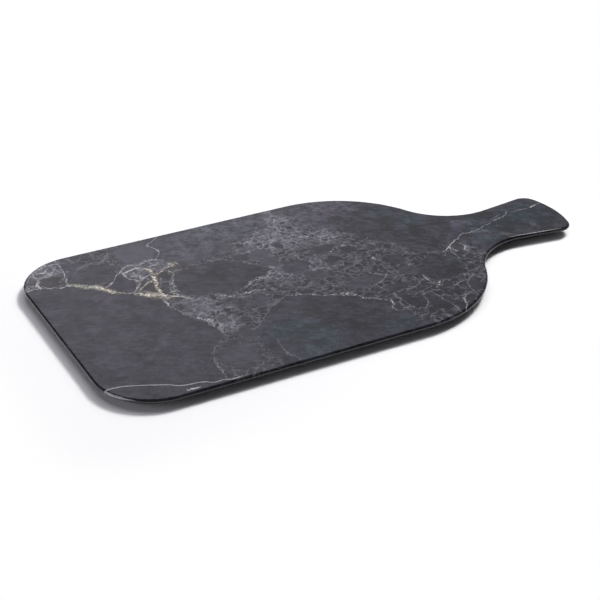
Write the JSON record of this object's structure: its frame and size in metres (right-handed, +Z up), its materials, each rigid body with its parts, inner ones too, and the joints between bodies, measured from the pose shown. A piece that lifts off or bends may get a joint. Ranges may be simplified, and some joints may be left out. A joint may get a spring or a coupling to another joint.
{
  "type": "paddle serving board",
  "caption": "Flat paddle-shaped serving board with rounded corners and a short flared handle, a dark marble-look face under a clear glaze, an undercut black edge and low rubber feet.",
  "frame": {"origin": "on the table under the middle of the board's length and width", "axes": "+X along the board from the butt end to the tip of the handle, +Y across the board, +Z up out of the serving face"},
  "size_m": [0.3882, 0.2, 0.008],
  "materials": {
    "black_melamine": "smooth black moulded melamine, satin to gloss",
    "marble_print": "dark grey marble-look print with pale and cream veins",
    "clear_glaze": "clear satin glaze",
    "foot_rubber": "matt black rubber",
    "foot_adhesive": "translucent acrylic adhesive"
  },
  "bodies": {
    "root": {"moulded_body": "black_melamine", "decor_foil": "marble_print", "clear_glaze": "clear_glaze", "foot_butt_left": "foot_rubber", "foot_butt_right": "foot_rubber", "foot_neck_left": "foot_rubber", "foot_neck_right": "foot_rubber", "foot_adhesive_butt_left": "foot_adhesive", "foot_adhesive_butt_right": "foot_adhesive", "foot_adhesive_neck_left": "foot_adhesive", "foot_adhesive_neck_right": "foot_adhesive"}
  },
  "joints": []
}
